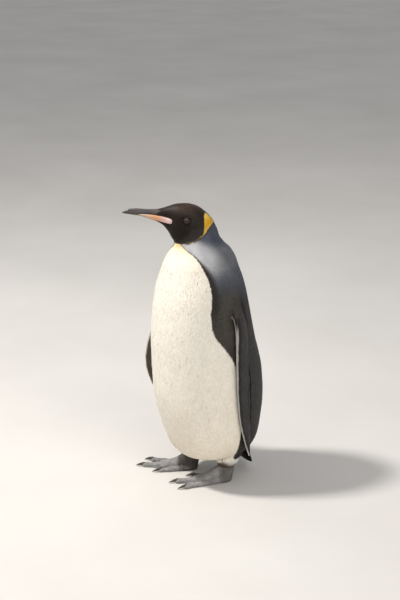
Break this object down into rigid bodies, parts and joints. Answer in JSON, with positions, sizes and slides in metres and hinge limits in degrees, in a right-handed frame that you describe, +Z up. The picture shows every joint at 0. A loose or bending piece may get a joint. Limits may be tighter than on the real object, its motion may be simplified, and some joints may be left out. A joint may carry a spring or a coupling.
{
  "type": "king penguin, standing museum model",
  "caption": "Life-size standing king penguin, still model: turned head with slender bill, hanging flippers, stiff tail, feathered legs and webbed clawed feet.",
  "frame": {"origin": "centre of the bounding box footprint, on the floor under the soles", "axes": "+Z up, the trunk faces -Y, +X is the bird's left side; head and feet are turned about 28 degrees towards -X"},
  "size_m": [0.4002, 0.3598, 0.79],
  "materials": {
    "head_feather": "short dense feathering, warm brown-black with an orange ear patch, soft sheen",
    "neck_feather": "short dense feathering, slate blue-grey, with golden-orange on the throat side",
    "body_feather": "dense overlapping feathering, cream-white in front, dark blue-grey back, matte",
    "flipper_feather": "scale-like stiff feathering, dark blue-grey, pale inner face",
    "tail_feather": "stiff narrow dark tail feathers, matte",
    "leg_feather": "short feathering, pale with a dark brownish ankle",
    "foot_skin": "scaly leathery skin, dark grey, matte",
    "claw_horn": "horn, near black with a paler tip, semi-gloss",
    "bill_horn": "horn, near black, satin",
    "bill_plate": "smooth horny plate, orange to lilac-pink, semi-gloss",
    "eye_gloss": "glossy dark brown eye"
  },
  "bodies": {
    "root": {"head": "head_feather", "neck": "neck_feather", "trunk": "body_feather", "tail": "tail_feather", "flipper_L": "flipper_feather", "flipper_R": "flipper_feather", "leg_L": "leg_feather", "claw_inner_L": "claw_horn", "claw_middle_L": "claw_horn", "claw_outer_L": "claw_horn", "foot_L": "foot_skin", "leg_R": "leg_feather", "claw_inner_R": "claw_horn", "claw_middle_R": "claw_horn", "claw_outer_R": "claw_horn", "foot_R": "foot_skin", "bill_upper": "bill_horn", "bill_lower": "bill_horn", "bill_plate_L": "bill_plate", "bill_plate_R": "bill_plate", "eye_L": "eye_gloss", "eye_R": "eye_gloss"}
  },
  "joints": []
}
